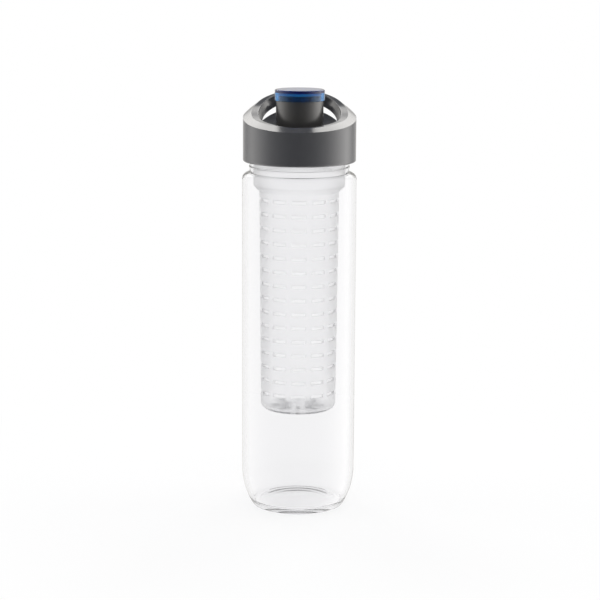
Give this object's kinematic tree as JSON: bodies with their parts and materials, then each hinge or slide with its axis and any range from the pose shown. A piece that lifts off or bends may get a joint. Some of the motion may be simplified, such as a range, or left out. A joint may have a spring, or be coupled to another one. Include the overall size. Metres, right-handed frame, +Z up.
{
  "type": "fruit infuser water bottle",
  "caption": "Clear drinking bottle with a slotted fruit basket under a screw lid that has a bevelled rim, a carry loop and a round spout closed by a hinged flip cap.",
  "frame": {"origin": "centre of the bottle's foot, on the surface it stands on", "axes": "+Z up along the bottle's axis; the drinking side with the flip cap's thumb tab faces -Y, and the carry loop is at +Y"},
  "size_m": [0.07, 0.07, 0.2596],
  "materials": {
    "clear_body": "clear, polished copolyester",
    "clear_basket": "clear, lightly frosted plastic",
    "grey_shell": "satin, warm dark grey",
    "grey_inner": "satin, dark grey",
    "grey_spout": "satin, dark grey",
    "blue_clear": "see-through blue, polished",
    "silicone": "milky silicone",
    "steel": "drawn steel wire"
  },
  "bodies": {
    "bottle": {"bottle_body": "clear_body"},
    "lid_ring": {"lid_gasket": "silicone"},
    "lid": {"lid_shell": "grey_shell", "inner_cap": "grey_inner", "spout": "grey_spout", "spout_seal": "silicone", "hinge_pin": "steel"},
    "cap": {"flip_cap": "blue_clear", "cap_seal": "silicone"},
    "infuser_ring": {"infuser_gasket": "silicone"},
    "infuser": {"infuser_basket": "clear_basket"}
  },
  "joints": [
    {"name": "lid_lift", "type": "slide", "parent": "bottle", "child": "lid_ring", "axis": [0, 0, 1], "range_m": [0, 0.18]},
    {"name": "lid_turn", "type": "hinge", "parent": "lid_ring", "child": "lid", "pos_m": [0, 0, 0.2283], "axis": [0, 0, 1], "range_deg": [0, 540]},
    {"name": "cap_flip", "type": "hinge", "parent": "lid", "child": "cap", "pos_m": [0, 0.0148, 0.25325], "axis": [-1, 0, 0], "range_deg": [0, 130]},
    {"name": "infuser_drop", "type": "slide", "parent": "lid", "child": "infuser_ring", "axis": [0, 0, -1], "range_m": [0, 0.01]},
    {"name": "infuser_turn", "type": "hinge", "parent": "infuser_ring", "child": "infuser", "pos_m": [0, 0, 0.2283], "axis": [0, 0, -1], "range_deg": [0, 360]}
  ],
  "couplings": [
    {"joint": "infuser_turn", "follows": "infuser_drop", "rad_per_m": 628.3}
  ]
}
